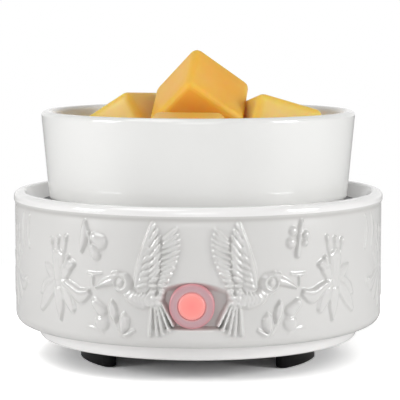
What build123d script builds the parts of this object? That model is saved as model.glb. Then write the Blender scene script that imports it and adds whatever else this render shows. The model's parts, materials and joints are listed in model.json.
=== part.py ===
from build123d import *
from math import atan2, cos, degrees, hypot, pi, radians, sin, sqrt, tan
import os

# A two-piece wax melt warmer: a ceramic base with a hot plate in its top, and a lift-off ceramic dish of wax.
# Millimetres. +Z is up, the front (the button) faces -Y, and the origin is on the table under the middle.

# Feet, and the cover that they plug into
foot_height = 8.8            # from the table to the underside of the cover
foot_width = 5.4
foot_margin = 9.4            # from the edge of the cover in to a foot
foot_span = 28.0             # angle between the centres of a foot's round ends, degrees
foot_heading = 63.0          # angle from the front, or from the back, to a foot's middle, degrees
foot_edge = 1.0
foot_peg_radius = 1.9
foot_peg_angle = 8.0         # angle from a foot's middle to each of its pegs, degrees
foot_peg_height = 1.8
peg_clearance = 0.15
cover_thickness = 2.4
cover_clearance = 0.3
cover_recess = 0.6           # how far the cover lies up inside the plinth
cover_vent_count = 6
cover_vent_radius = 17.0
cover_vent_width = 3.0
cover_vent_angle = 30.0

# Ceramic housing
wall_radius = 67.0
wall_thickness = 4.5
wall_height = 47.6           # from the step under the wall to the top of the rim
wall_foot_radius = 3.5
bead_radius = 2.0
bead_proud = 0.4
lip_tuck = 0.27              # how far the top of the well's side lies in under the bead
plinth_height = 5.3
plinth_inset = 7.5           # from the wall in to the top of the plinth
plinth_draft_width = 1.5     # how far the plinth draws in towards its foot
plinth_edge = 1.2
plinth_wall = 4.5
shoulder_width = 3.0         # what the cover seats against
floor_thickness = 3.0        # ceramic above the step
well_depth = 6.2             # from the top of the rim down to the ledge
well_inset = 6.5             # from the wall in to the foot of the well
well_foot_round = 1.5
ledge_width = 6.5
ledge_thickness = 4.4
inner_round = 2.0

# Hot plate and what is clamped under it
plate_margin = 2.0           # strip of ledge that shows round the plate
plate_thickness = 1.0
plate_edge = 0.3
skirt_clearance = 0.4
skirt_thickness = 1.0
skirt_height = 2.5
seal_thickness = 0.8
seal_inset = 0.5
stud_radius = 2.0
stud_clearance = 0.3
heater_margin = 1.5          # between the heater and the ties
heater_thickness = 1.6
clamp_inset = 5.0            # strip of heater that shows round the clamp
clamp_thickness = 1.2
washer_radius = 5.0
washer_thickness = 1.0
nut_width = 7.0
nut_height = 3.2
stud_end = 1.6               # thread past the nut
thermostat_radius = 7.5
thermostat_height = 7.0
thermostat_cap_radius = 8.2
thermostat_cap_height = 1.2
blade_width = 6.3
blade_thickness = 0.8
blade_length = 7.0
washer_gap = 1.8             # from the washer out to the thermostat and to the fuse clip
fuse_radius = 2.0
fuse_length = 11.0
clip_thickness = 0.6
clip_width = 5.0
clip_foot = 4.0
clip_clearance = 0.1

# Hex standoffs that tie the plate to the cover, and their screws
tie_count = 4
tie_margin = 4.9             # from the corners of the board out to the middle of a tie
tie_width = 6.0
tie_stud_radius = 1.4
tie_stud_length = 5.0
tie_stud_room = 1.0
screw_radius = 1.5
screw_length = 10.0
screw_head_radius = 2.8
screw_head_height = 2.0
screw_clearance = 0.1
head_sink = 3.4              # how deep the heads lie in their cups
cup_wall = 1.4

# Control board on posts of the cover
board_length = 44.0
board_depth = 30.0
board_thickness = 1.6
board_shift = 4.0            # towards the back
board_corner = 2.0
post_radius = 3.0
post_height = 9.0
post_inset = 3.5
board_screw_radius = 1.0
board_screw_length = 6.0
board_screw_head_radius = 2.0
board_screw_head_height = 1.4
terminal_length = 13.0
terminal_depth = 8.0
terminal_height = 10.0
terminal_entry_radius = 1.6
terminal_edge = 1.6
capacitor_length = 18.0
capacitor_depth = 7.0
capacitor_height = 12.0
capacitor_edge = 1.0
triac_width = 10.0
triac_depth = 4.4
triac_height = 9.0
triac_tab_thickness = 1.3
triac_tab_height = 6.0
triac_hole_radius = 1.8
triac_leg = 0.8
triac_leg_height = 4.0
triac_leg_pitch = 2.54
lead_radius = 0.9
lead_bend = 4.0
lead_bend_share = 0.4        # most of a run that a bend may take
lead_rise = 14.0             # from the board up to the first bend of a heater lead
lead_inset = 6.0             # from the ends of the board in to the heater leads
lead_pitch = 6.0             # between the two switch leads
part_gap = 0.6               # between parts that stand side by side on the board

# Cord inlet in the back wall
inlet_height = 12.0          # above the step
grommet_bore_radius = 2.9
grommet_neck_radius = 5.0
grommet_flange_radius = 7.2
grommet_flange = 2.4
grommet_clearance = 0.2
inlet_spot_depth = 1.0       # flat sunk into the back wall for the flange
grommet_edge = 0.8

# Flat seat sunk in the front wall, and its push button
seat_depth = 3.0
seat_height = 14.8           # from the step up to the middle of the button
seat_gap = 0.3               # round the bezel, to the shelf below and to the crown of the arch
seat_width = 27.0
seat_arch = 3.5              # how far the crown stands above the ends of the arch
seat_corner = 2.0
seat_thickness = 4.0         # ceramic behind the seat
pad_margin = 4.0             # pad inside the wall, past the seat's sides
bezel_flange = 1.0
bezel_height = 3.6
bezel_edge = 1.0
bezel_bore_edge = 0.3
barrel_wall = 1.05
barrel_length = 9.5
barrel_clearance = 0.2
bezel_lip = 1.9              # thickness behind the seat that keeps the cap in
bezel_nut_height = 3.0
bezel_nut_wall = 1.9
cap_radius = 4.5
cap_clearance = 0.25
cap_proud = 0.4
cap_edge = 0.8
cap_flange_width = 0.8
cap_flange_thickness = 1.1
cap_play = 0.2               # between the cap's flange and the bezel's lip
cap_stem_radius = 1.5
button_travel = 1.2
switch_collar = 2.0
switch_width = 15.0
switch_depth = 11.0
switch_edge = 1.0
stem_room = 2.0              # below the stem when the button is pressed
led_count = 4
led_radius = 0.8
led_height = 1.5

# Moulded relief on the front of the wall
relief_root = 4.0            # how deep in the wall the outlines start
relief_shift = 1.3           # from the middle of the button along the wall to the middle of the drawing
relief_low = 0.9             # how far the forms stand out of the wall
relief_middle = 1.3
relief_high = 1.6
bird_reach = 18.0            # from the middle of the drawing along the wall to the middle of each motif
spray_reach = 28.5
insect_reach = 36.5
lily_reach = 52.4

# Lift-off dish
dish_gap = 6.2               # from the foot of the well in to the foot of the dish
dish_height = 33.2
dish_flare_width = 3.0       # how far the rim stands out past the foot
dish_wall = 4.0
dish_floor = 4.8
dish_foot_round = 3.0
dish_inner_round = 12.0
dish_lip_flat = 0.1
rest_gap = 0.1               # under what stands loose

# Wax cubes
cube_edge = 26.0
cube_round = 3.0
wax_left_inset = 21.7        # from the dish's inner wall in to the middle of each cube
wax_right_inset = 23.2
wax_front_inset = 19.7
wax_rear_inset = 16.7
wax_top_offset = 1.0         # from the axis to the middle of the cube on top
wax_gap = 0.3
cube_gap = 0.15
settle_start = 60.0          # height above the dish's floor from which the cubes are lowered
settle_step = 0.01
wall_step = 0.25

# Heights and radii that follow
cover_bottom = foot_height
cover_top = cover_bottom + cover_thickness
plinth_bottom = foot_height - cover_recess
step_z = plinth_bottom + plinth_height
floor_z = step_z + floor_thickness
rim_z = step_z + wall_height
ledge_z = rim_z - well_depth
plinth_radius = wall_radius - plinth_inset
opening_radius = plinth_radius - plinth_draft_width - plinth_wall
shoulder_radius = opening_radius - shoulder_width
cover_radius = opening_radius - cover_clearance
foot_ring_radius = cover_radius - foot_margin - foot_width / 2
inner_radius = wall_radius - wall_thickness
well_radius = wall_radius - well_inset
ledge_radius = well_radius - ledge_width
bead_middle_radius = wall_radius + bead_proud - bead_radius
bead_middle_z = rim_z - bead_radius
board_bottom = cover_top + post_height
board_top = board_bottom + board_thickness
board_front = board_shift - board_depth / 2
board_back = board_shift + board_depth / 2
lead_side = board_length / 2 - lead_inset - lead_radius
tie_ring_radius = hypot(board_length / 2, board_back) + tie_margin
tie_corner_radius = tie_width / sqrt(3)
cup_top = cover_top + head_sink
plate_radius = well_radius - plate_margin
plate_bottom = ledge_z + seal_thickness
plate_top = plate_bottom + plate_thickness
skirt_radius = ledge_radius - skirt_clearance
heater_radius = tie_ring_radius - tie_corner_radius - heater_margin
heater_bottom = plate_bottom - heater_thickness
clamp_radius = heater_radius - clamp_inset
clamp_bottom = heater_bottom - clamp_thickness
washer_bottom = clamp_bottom - washer_thickness
nut_bottom = washer_bottom - nut_height
inlet_z = step_z + inlet_height
grommet_face = wall_radius - inlet_spot_depth
grommet_inner_face = sqrt(inner_radius**2 - (grommet_flange_radius + grommet_clearance) ** 2)
seat_y = seat_depth - wall_radius
seat_z = step_z + seat_height
cap_bore = cap_radius + cap_clearance
cap_flange_radius = cap_radius + cap_flange_width
cap_flange_front = -bezel_lip - cap_play
cap_flange_back = cap_flange_front - cap_flange_thickness
barrel_bore = cap_flange_radius + cap_clearance
barrel_radius = barrel_bore + barrel_wall
bezel_radius = barrel_radius + bezel_flange
seat_reach = bezel_radius + seat_gap
collar_front = switch_collar - barrel_length
dish_bottom = plate_top + rest_gap
dish_foot_radius = well_radius - dish_gap
dish_rim_radius = dish_foot_radius + dish_flare_width
dish_floor_z = dish_bottom + dish_floor
dish_rim_z = dish_bottom + dish_height
dish_inner_radius = dish_foot_radius + dish_flare_width * dish_floor / dish_height - dish_wall
dish_lean = atan2(dish_flare_width, dish_height)
dish_flat_radius = dish_inner_radius - dish_inner_round * tan(pi / 4 - dish_lean / 2)

# The button's own frame: local Z points straight out of the seat, local Y up along it
seat = Plane(origin=(0, seat_y, seat_z), x_dir=(1, 0, 0), z_dir=(0, -1, 0))


def turned(corners, bead=None):
    """Turn an outline of (radius, height, rounding) corners about the Z axis."""
    points = [(radius, height) for radius, height, _ in corners]
    rounding = [corner for _, _, corner in corners]
    face = make_face(FilletPolyline(*points, radius=rounding, close=True))
    if bead:
        face = face + bead
    return revolve(Plane.XZ * face, Axis.Z)


def ring_places(count, radius, start=0.0):
    """Places spread evenly round the axis."""
    return [Rot(0, 0, start + 360 / count * i) * Pos(radius, 0, 0) for i in range(count)]


def post(radius, bottom, top):
    """An upright cylinder between two heights."""
    return Pos(0, 0, bottom) * Cylinder(radius, top - bottom, align=(Align.CENTER, Align.CENTER, Align.MIN))


def block(length, depth, height, bottom):
    """An upright box standing at a height."""
    return Pos(0, 0, bottom) * Box(length, depth, height, align=(Align.CENTER, Align.CENTER, Align.MIN))


def hexagon(width, bottom, top):
    """An upright hexagonal bar, by its width across flats."""
    face = RegularPolygon(width / 2, 6, major_radius=False)
    return Pos(0, 0, bottom) * extrude(face, top - bottom)


def lead(points):
    """A round lead along straight runs and tangent bends, which are tighter where a run is short."""
    stops = [Vector(*point) for point in points]
    shortest = min((b - a).length for a, b in zip(stops, stops[1:]))
    path = FilletPolyline(*stops, radius=min(lead_bend, lead_bend_share * shortest))
    return sweep(Plane(origin=path @ 0, z_dir=path % 0) * Circle(lead_radius), path=path)


tie_places = ring_places(tie_count, tie_ring_radius, 45)


def housing():
    bead = Pos(bead_middle_radius, bead_middle_z) * Circle(bead_radius)
    lip_radius = bead_middle_radius - bead_radius + lip_tuck
    shell = turned(
        [
            (opening_radius, plinth_bottom, 0),
            (plinth_radius - plinth_draft_width, plinth_bottom, plinth_edge),
            (plinth_radius, step_z, 0),
            (wall_radius, step_z, wall_foot_radius),
            (wall_radius, bead_middle_z, 0),
            (lip_radius, bead_middle_z, 0),
            (well_radius, ledge_z, well_foot_round),
            (ledge_radius, ledge_z, 0),
            (ledge_radius, ledge_z - ledge_thickness, 0),
            (inner_radius, ledge_z - ledge_thickness, inner_round),
            (inner_radius, floor_z, inner_round),
            (shoulder_radius, floor_z, 0),
            (shoulder_radius, cover_top, 0),
            (opening_radius, cover_top, 0),
        ],
        bead,
    )
    pad_top = seat_z + seat_reach + pad_margin
    pad = block(seat_width + 2 * pad_margin, seat_thickness, pad_top - step_z, step_z)
    pad = Pos(0, seat_y + seat_thickness / 2, 0) * pad
    pad = pad & post(wall_radius - wall_thickness / 2, floor_z - floor_thickness / 2, pad_top)
    side = seat_width / 2
    arch_end = seat_reach - seat_arch
    ends = [(-side, arch_end), (-side, -seat_reach), (side, -seat_reach), (side, arch_end)]
    outline = FilletPolyline(*ends, radius=seat_corner)
    outline += ThreePointArc(ends[-1], (0, seat_reach), ends[0])
    pocket = seat * extrude(make_face(outline), 2 * seat_depth)
    button_hole = seat * Cylinder(barrel_radius + barrel_clearance, 2 * (seat_depth + seat_thickness))
    inlet = Pos(0, wall_radius, inlet_z) * Rot(90, 0, 0)
    inlet_hole = inlet * Cylinder(grommet_neck_radius + grommet_clearance, 3 * wall_thickness)
    inlet_spot = inlet * Cylinder(grommet_flange_radius + grommet_clearance, 2 * inlet_spot_depth)
    return shell + pad - pocket - button_hole - inlet_hole - inlet_spot


def leaf(start, end, width):
    """A leaf outline between two points, of two arcs."""
    start, end = Vector(*start), Vector(*end)
    middle = (start + end) / 2
    aside = (end - start).rotate(Axis.Z, 90).normalized() * width / 2
    return make_face([ThreePointArc(start, middle + aside, end), ThreePointArc(end, middle - aside, start)])


def disc(x, y, radius):
    return Pos(x, y) * Circle(radius)


# Motifs of the right-hand half, as how far they stand out and their outline, along the wall and above the step
def bird():
    far_wing = Polygon((11.9, 21), (11.4, 36), (6.5, 40.5), (5.1, 36), (6.2, 29), (10.2, 21.6), align=None)
    tail = Polygon((15, 16), (15.9, 5.4), (12.4, 5.2), (8.4, 7.8), (11.7, 16.6), align=None)
    wing_edges = [
        ThreePointArc((19.8, 20.4), (18.6, 29.5), (14.1, 43)),
        ThreePointArc((14.1, 43), (11.7, 32), (12.8, 21)),
        Line((12.8, 21), (19.8, 20.4)),
    ]
    breast = leaf((25.4, 21), (11.6, 17), 6)
    beak = Polygon((27, 24.2), (35.2, 19.8), (27.2, 21), align=None)
    near = make_face(wing_edges) + breast + beak
    return [(relief_low, far_wing + tail), (relief_middle, near), (relief_high, disc(24.9, 21.9, 3.5))]


def spray():
    leaves = leaf((27.6, 8.8), (29, 17), 3) + leaf((25, 5.4), (24.1, 12.8), 3.4)
    bud = leaf((37, 16.4), (31, 11), 4)
    return [(relief_middle, leaves + bud), (relief_low, disc(32.9, 8.6, 2.4))]


def lily():
    upright = leaf((52.9, 20.4), (60, 26.2), 4) + leaf((51.6, 20.8), (44.6, 28.6), 4.4)
    drooping = leaf((53, 21), (63, 14.8), 3.8) + leaf((53.4, 20.6), (62.6, 9), 4.4)
    drooping = drooping + leaf((51.4, 20.4), (44.4, 10.4), 3.8)
    foremost = leaf((52.8, 21.4), (50.8, 6.6), 4.4) + leaf((51.6, 21.2), (38, 17.4), 4.4)
    throat = Polygon((51, 20), (53.4, 20), (55, 28), (49.6, 28), align=None)
    return [(relief_low, upright + drooping), (relief_middle, foremost + throat)]


def butterfly():
    wings = leaf((38.4, 42.4), (42, 30.6), 4.4) + disc(33.6, 35.4, 2.9) + disc(35.2, 31.4, 2.2)
    return [(relief_middle, wings + leaf((38, 40), (37, 31), 2.6))]


def dragonfly():
    wings = disc(33.9, 39, 1.7) + disc(33.1, 35.1, 2) + disc(38.9, 37.6, 1.5) + disc(38.6, 34.9, 1.4)
    return [(relief_middle, wings + leaf((37.4, 43.4), (35.4, 29.6), 2.6))]


def wall_relief(wall):
    """The motifs, wrapped on the wall and seated on it and in the sunk seat."""
    both = [(bird_reach, bird()), (spray_reach, spray()), (lily_reach, lily())]
    halves = {1: both + [(insect_reach, dragonfly())], -1: both + [(insect_reach, butterfly())]}
    root_radius = wall_radius - relief_root
    motifs = []
    for side, drawings in halves.items():
        for reach, levels in drawings:
            out = Vector(sin(reach / wall_radius), -cos(reach / wall_radius), 0)
            face = Plane(origin=out * root_radius + Vector(0, 0, step_z), x_dir=(-out.Y, out.X, 0), z_dir=out)
            motif = Part()
            for rise, outline in levels:
                raised = extrude(face * (Pos(-reach, 0) * outline), 2 * relief_root, dir=out)
                motif += raised & post(wall_radius + rise, step_z, rim_z)
            if side < 0:
                motif = mirror(motif, Plane.YZ)
            motifs.append(Rot(0, 0, degrees(relief_shift / wall_radius)) * motif - wall)
    return motifs


def heating_plate():
    plate = turned(
        [
            (0, plate_bottom, 0),
            (skirt_radius - skirt_thickness, plate_bottom, 0),
            (skirt_radius - skirt_thickness, plate_bottom - skirt_height, 0),
            (skirt_radius, plate_bottom - skirt_height, 0),
            (skirt_radius, plate_bottom, 0),
            (plate_radius, plate_bottom, 0),
            (plate_radius, plate_top, plate_edge),
            (0, plate_top, 0),
        ]
    )
    plate += post(stud_radius, nut_bottom - stud_end, plate_top - plate_thickness / 2)
    for place in tie_places:
        plate += place * post(tie_stud_radius, plate_bottom - tie_stud_length, plate_bottom)
    return plate


def plate_seal():
    ring = post(plate_radius - seal_inset, ledge_z, plate_bottom)
    return ring - post(ledge_radius, ledge_z, plate_bottom)


def heater_disc():
    return post(heater_radius, heater_bottom, plate_bottom) - post(
        stud_radius + stud_clearance, heater_bottom, plate_bottom
    )


def heater_clamp():
    return post(clamp_radius, clamp_bottom, heater_bottom) - post(
        stud_radius + stud_clearance, clamp_bottom, heater_bottom
    )


def clamp_washer():
    return post(washer_radius, washer_bottom, clamp_bottom) - post(
        stud_radius + stud_clearance, washer_bottom, clamp_bottom
    )


def clamp_nut():
    return hexagon(nut_width, nut_bottom, washer_bottom) - post(
        stud_radius + screw_clearance, nut_bottom, washer_bottom
    )


def thermostat():
    cap_bottom = clamp_bottom - thermostat_cap_height
    body_bottom = cap_bottom - thermostat_height
    body = post(thermostat_cap_radius, cap_bottom, clamp_bottom)
    body += post(thermostat_radius, body_bottom, cap_bottom)
    for side in (-1, 1):
        blade = block(blade_width, blade_thickness, blade_length, body_bottom - blade_length)
        body += Pos(0, side * thermostat_radius / 2, 0) * blade
    return Pos(0, -washer_radius - washer_gap - thermostat_cap_radius, 0) * body


clip_bend = fuse_radius + clip_clearance + clip_thickness / 2
fuse_place = Pos(0, washer_radius + washer_gap + clip_bend + clip_foot, clamp_bottom - fuse_radius)


def thermal_fuse():
    return fuse_place * Rot(0, 90, 0) * Cylinder(fuse_radius, fuse_length)


def fuse_clip():
    face = fuse_radius - clip_thickness / 2
    foot_end = clip_bend + clip_foot
    strap = Polyline((-foot_end, face), (-clip_bend, face), (-clip_bend, 0))
    strap += ThreePointArc((-clip_bend, 0), (0, -clip_bend), (clip_bend, 0))
    strap += Polyline((clip_bend, 0), (clip_bend, face), (foot_end, face))
    strip = extrude(trace(strap, clip_thickness), clip_width / 2, both=True)
    return fuse_place * (Plane.YZ * strip)


def standoffs():
    bar = hexagon(tie_width, cup_top, plate_bottom)
    bar -= post(screw_radius + screw_clearance, cup_top, cup_top + screw_length)
    socket_bottom = plate_bottom - tie_stud_length - tie_stud_room
    bar -= post(tie_stud_radius + screw_clearance, socket_bottom, plate_bottom)
    return [place * bar for place in tie_places]


def foot(heading):
    middle_line = CenterArc((0, 0), foot_ring_radius, -foot_span / 2, foot_span)
    pad = extrude(SlotArc(middle_line, foot_width), foot_height)
    pad = fillet(pad.faces().sort_by(Axis.Z)[0].edges(), foot_edge)
    for angle in (-foot_peg_angle, foot_peg_angle):
        peg = post(foot_peg_radius, foot_height, foot_height + foot_peg_height)
        pad += Rot(0, 0, angle) * Pos(foot_ring_radius, 0, 0) * peg
    return Rot(0, 0, heading) * pad


foot_headings = {
    "foot_front_left": -90 - foot_heading,
    "foot_front_right": -90 + foot_heading,
    "foot_rear_right": 90 - foot_heading,
    "foot_rear_left": 90 + foot_heading,
}

board_corners = [
    Pos(x * (board_length / 2 - post_inset), board_shift + y * (board_depth / 2 - post_inset), 0)
    for x in (-1, 1)
    for y in (-1, 1)
]


def base_cover():
    disc = post(cover_radius, cover_bottom, cover_top)
    slot = SlotArc(CenterArc((0, 0), cover_vent_radius, 0, cover_vent_angle), cover_vent_width)
    vent = Pos(0, 0, cover_bottom) * extrude(slot, cover_thickness)
    for i in range(cover_vent_count):
        disc -= Rot(0, 0, 360 / cover_vent_count * i) * vent
    for heading in foot_headings.values():
        for angle in (-foot_peg_angle, foot_peg_angle):
            hole = post(foot_peg_radius + peg_clearance, cover_bottom, cover_top)
            disc -= Rot(0, 0, heading + angle) * Pos(foot_ring_radius, 0, 0) * hole
    cup_radius = screw_head_radius + screw_clearance
    for place in tie_places:
        disc += place * post(cup_radius + cup_wall, cover_top, cup_top)
        disc -= place * post(cup_radius, cover_bottom, cover_bottom + head_sink)
        disc -= place * post(screw_radius + screw_clearance, cover_bottom, cup_top)
    pilot = post(board_screw_radius + screw_clearance, board_bottom - board_screw_length, board_bottom)
    for place in board_corners:
        disc += place * post(post_radius, cover_top, board_bottom)
        disc -= place * pilot
    return disc


def cover_screws():
    seat_face = cover_bottom + head_sink
    screw = post(screw_head_radius, seat_face - screw_head_height, seat_face)
    screw += post(screw_radius, seat_face, seat_face + screw_length)
    return [place * screw for place in tie_places]


def control_board():
    board = block(board_length, board_depth, board_thickness, board_bottom)
    board = fillet(board.edges().filter_by(Axis.Z), board_corner)
    board = Pos(0, board_shift, 0) * board
    for place in board_corners:
        board -= place * post(board_screw_radius + screw_clearance, board_bottom, board_top)
    return board


def board_screws():
    screw = post(board_screw_head_radius, board_top, board_top + board_screw_head_height)
    screw += post(board_screw_radius, board_top - board_screw_length + board_thickness, board_top)
    return [place * screw for place in board_corners]


def terminal_block():
    body = block(terminal_length, terminal_depth, terminal_height, board_top)
    body = chamfer(body.edges().filter_by(Axis.X).sort_by(Axis.Z)[-2:], terminal_edge)
    entry = Rot(90, 0, 0) * Cylinder(terminal_entry_radius, terminal_depth)
    for side in (-1, 1):
        place = Pos(side * terminal_length / 4, terminal_depth / 2, board_top + terminal_height / 3)
        body -= place * entry
    return Pos(0, board_back - terminal_depth / 2, 0) * body


def film_capacitor():
    body = block(capacitor_depth, capacitor_length, capacitor_height, board_top)
    body = fillet(body.edges().filter_by(Axis.Z), capacitor_edge)
    y = board_back - terminal_depth - part_gap - capacitor_length / 2
    return Pos(capacitor_depth / 2 + part_gap - lead_side, y, 0) * body


def power_triac():
    bottom = board_top + triac_leg_height
    body = block(triac_width, triac_depth, triac_height, bottom)
    tab_top = triac_height + triac_tab_height
    tab = block(triac_width, triac_tab_thickness, tab_top, bottom)
    tab = Pos(0, (triac_depth - triac_tab_thickness) / 2, 0) * tab
    hole = Pos(0, 0, bottom + triac_height + triac_tab_height / 2) * Rot(90, 0, 0)
    body = body + tab - hole * Cylinder(triac_hole_radius, 3 * triac_depth)
    for step in (-1, 0, 1):
        body += Pos(step * triac_leg_pitch, 0, 0) * block(triac_leg, triac_leg, triac_leg_height, board_top)
    return Pos(lead_side - part_gap - triac_width / 2, board_shift, 0) * body


def heater_leads():
    start_x = lead_side + lead_radius
    end_x = (heater_radius + clamp_radius) / 2
    leads = []
    for side in (-1, 1):
        leads.append(
            lead(
                [
                    (side * start_x, 0, board_top),
                    (side * start_x, 0, board_top + lead_rise),
                    (side * end_x, 0, heater_bottom - lead_rise),
                    (side * end_x, 0, heater_bottom),
                ]
            )
        )
    return leads


def cord_grommet():
    neck = grommet_face - grommet_inner_face
    ring = turned(
        [
            (grommet_bore_radius, -neck - grommet_flange, 0),
            (grommet_flange_radius, -neck - grommet_flange, grommet_edge),
            (grommet_flange_radius, -neck, 0),
            (grommet_neck_radius, -neck, 0),
            (grommet_neck_radius, 0, 0),
            (grommet_flange_radius, 0, 0),
            (grommet_flange_radius, grommet_flange, grommet_edge),
            (grommet_bore_radius, grommet_flange, 0),
        ]
    )
    return Pos(0, grommet_face, inlet_z) * Rot(-90, 0, 0) * ring


def button_bezel():
    ring = turned(
        [
            (barrel_bore, -barrel_length, 0),
            (barrel_radius, -barrel_length, 0),
            (barrel_radius, 0, 0),
            (bezel_radius, 0, 0),
            (bezel_radius, bezel_height, bezel_edge),
            (cap_bore, bezel_height, bezel_bore_edge),
            (cap_bore, -bezel_lip, 0),
            (barrel_bore, -bezel_lip, 0),
        ]
    )
    return seat * ring


def switch_nut():
    nut = hexagon(2 * (barrel_radius + bezel_nut_wall), -seat_thickness - bezel_nut_height, -seat_thickness)
    nut -= post(barrel_radius + screw_clearance, -seat_thickness - bezel_nut_height, -seat_thickness)
    return seat * nut


def button_cap():
    front = bezel_height + cap_proud
    stem_end = collar_front - button_travel
    cap = turned(
        [
            (0, stem_end, 0),
            (cap_stem_radius, stem_end, 0),
            (cap_stem_radius, cap_flange_back, 0),
            (cap_flange_radius, cap_flange_back, 0),
            (cap_flange_radius, cap_flange_front, 0),
            (cap_radius, cap_flange_front, 0),
            (cap_radius, front, cap_edge),
            (0, front, 0),
        ]
    )
    return seat * cap


def switch_body():
    collar = post(barrel_bore - cap_clearance, -barrel_length, collar_front)
    case = block(switch_width, switch_width, switch_depth, -barrel_length - switch_depth)
    case = fillet(case.edges().filter_by(Axis.Z), switch_edge)
    well_end = collar_front - 2 * button_travel - stem_room
    stem_well = post(cap_stem_radius + cap_clearance, well_end, collar_front)
    return seat * (case + collar - stem_well)


def button_leds():
    led = post(led_radius, collar_front, collar_front + led_height)
    led = fillet(led.faces().sort_by(Axis.Z)[-1].edges(), led_radius / 2)
    ring = (cap_stem_radius + barrel_bore) / 2
    return [seat * place * led for place in ring_places(led_count, ring)]


def switch_leads():
    back = -barrel_length - switch_depth
    leads = []
    for side in (-1, 1):
        x = side * lead_pitch / 2
        start = seat.from_local_coords((x, switch_width / 4, back))
        bend = seat.from_local_coords((x, switch_width / 4, back - lead_rise / 2))
        landing = (x, board_front + post_inset, board_top)
        above = (x, board_front + post_inset, board_top + lead_rise / 2)
        leads.append(lead([start, bend, above, landing]))
    return leads


def wax_dish():
    lip = (dish_wall - dish_lip_flat) / 2
    return turned(
        [
            (0, dish_bottom, 0),
            (dish_foot_radius, dish_bottom, dish_foot_round),
            (dish_rim_radius, dish_rim_z, lip),
            (dish_rim_radius - dish_wall, dish_rim_z, lip),
            (dish_inner_radius, dish_floor_z, dish_inner_round),
            (0, dish_floor_z, 0),
        ]
    )


# Wax cubes from the bottom of the heap up: name, heading, distance from the axis, and turns about X, Y and Z
wax_heap = [
    ("wax_cube_left", 150, dish_inner_radius - wax_left_inset, (-17, -26, -30)),
    ("wax_cube_right", 3, dish_inner_radius - wax_right_inset, (-16, 12, 20)),
    ("wax_cube_front", 264, dish_inner_radius - wax_front_inset, (7, 0, -3)),
    ("wax_cube_rear", 78, dish_inner_radius - wax_rear_inset, (0, 0, -10)),
    ("wax_cube_top", 70, wax_top_offset, (34, 38, -6)),
]


def resting_height(radius):
    """How low the middle of a cube's rounded corner can come in the dish, this far from the axis."""
    margin = cube_round + wax_gap
    bowl = dish_inner_round - margin
    up_the_side = min(max(radius - dish_flat_radius, 0), bowl)
    return dish_floor_z + margin + bowl - sqrt(bowl**2 - up_the_side**2)


def wax_cubes():
    """Lower the cubes into the dish one by one. A rounded cube is a smaller sharp one, its core, grown by
    the rounding, so the gaps are measured between cores."""
    core_box = Box(*[cube_edge - 2 * cube_round] * 3)
    cube_box = fillet(Box(cube_edge, cube_edge, cube_edge).edges(), cube_round)
    reach = dish_inner_radius - cube_round - wax_gap
    settled, cubes = [], {}
    for name, heading, distance, turns in wax_heap:
        turned_core = Rot(*turns) * core_box
        corners = turned_core.vertices()
        across, along = cos(radians(heading)), sin(radians(heading))
        while any(hypot(v.X + distance * across, v.Y + distance * along) > reach for v in corners):
            distance -= wall_step
        x, y = distance * across, distance * along
        height = dish_floor_z + settle_start
        drop = settle_start
        while drop > settle_step:
            core = Pos(x, y, height) * turned_core
            drop = min(v.Z + height - resting_height(hypot(v.X + x, v.Y + y)) for v in corners)
            for other in settled:
                drop = min(drop, core.distance_to(other) - 2 * cube_round - cube_gap)
            height -= max(drop, 0)
        settled.append(Pos(x, y, height) * turned_core)
        cubes[name] = Pos(x, y, height) * Rot(*turns) * cube_box
    return cubes


ceramic = housing()
nodes = {
    "housing": ceramic,
    "wall_relief": wall_relief(ceramic),
    "heating_plate": heating_plate(),
    "plate_seal": plate_seal(),
    "heater_disc": heater_disc(),
    "heater_clamp": heater_clamp(),
    "clamp_washer": clamp_washer(),
    "clamp_nut": clamp_nut(),
    "thermostat": thermostat(),
    "thermal_fuse": thermal_fuse(),
    "fuse_clip": fuse_clip(),
    "standoffs": standoffs(),
    "base_cover": base_cover(),
    "cover_screws": cover_screws(),
    "control_board": control_board(),
    "board_screws": board_screws(),
    "terminal_block": terminal_block(),
    "film_capacitor": film_capacitor(),
    "power_triac": power_triac(),
    "heater_leads": heater_leads(),
    "cord_grommet": cord_grommet(),
    "button_bezel": button_bezel(),
    "switch_nut": switch_nut(),
    "switch_body": switch_body(),
    "button_leds": button_leds(),
    "switch_leads": switch_leads(),
    "button_cap": button_cap(),
    "wax_dish": wax_dish(),
}
nodes.update({name: foot(heading) for name, heading in foot_headings.items()})
nodes.update(wax_cubes())

os.makedirs("parts", exist_ok=True)
for name, shape in nodes.items():
    solids = shape if isinstance(shape, list) else shape.solids()
    solids = [solid for piece in solids for solid in piece.solids()]
    export_step(solids[0] if len(solids) == 1 else Compound(children=solids), f"parts/{name}.step")
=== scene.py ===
import json
import math

import bmesh
import bpy
import numpy as np
from mathutils import Euler, Matrix, Vector


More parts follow.
